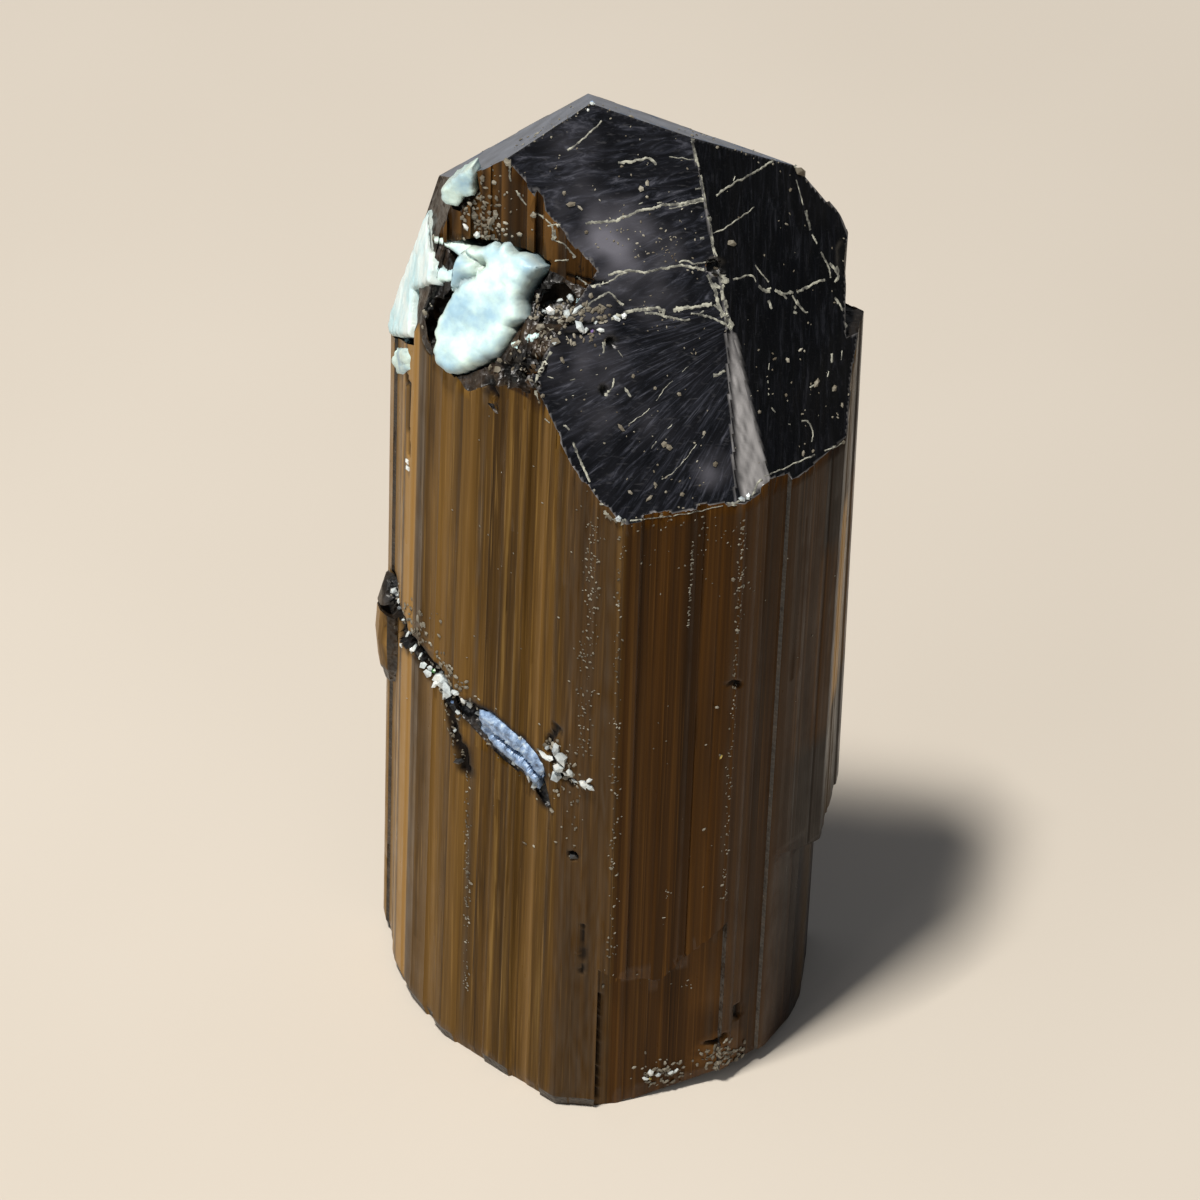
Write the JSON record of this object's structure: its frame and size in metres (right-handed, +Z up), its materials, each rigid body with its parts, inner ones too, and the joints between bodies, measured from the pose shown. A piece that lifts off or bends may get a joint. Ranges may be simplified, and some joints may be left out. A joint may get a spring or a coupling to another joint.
{
  "type": "tourmaline crystal",
  "caption": "Stout striated tourmaline prism with a steep faceted termination, standing on its cut base, with pale feldspar set in its upper left side.",
  "frame": {"origin": "middle of the cut base, on the surface that the crystal stands on", "axes": "+Z up along the prism, -Y towards the viewer, +X to the viewer's right"},
  "size_m": [0.0286, 0.0164, 0.0706],
  "materials": {
    "tourmaline": "glassy black faces on the termination, silky striated brown-black prism faces",
    "feldspar": "pale blue-white, granular and half dull",
    "crack_filling": "pale blue-grey, granular"
  },
  "bodies": {
    "root": {"tourmaline_crystal": "tourmaline", "feldspar_blob": "feldspar", "feldspar_shoulder": "feldspar", "feldspar_chip": "feldspar", "crack_filling": "crack_filling"}
  },
  "joints": []
}
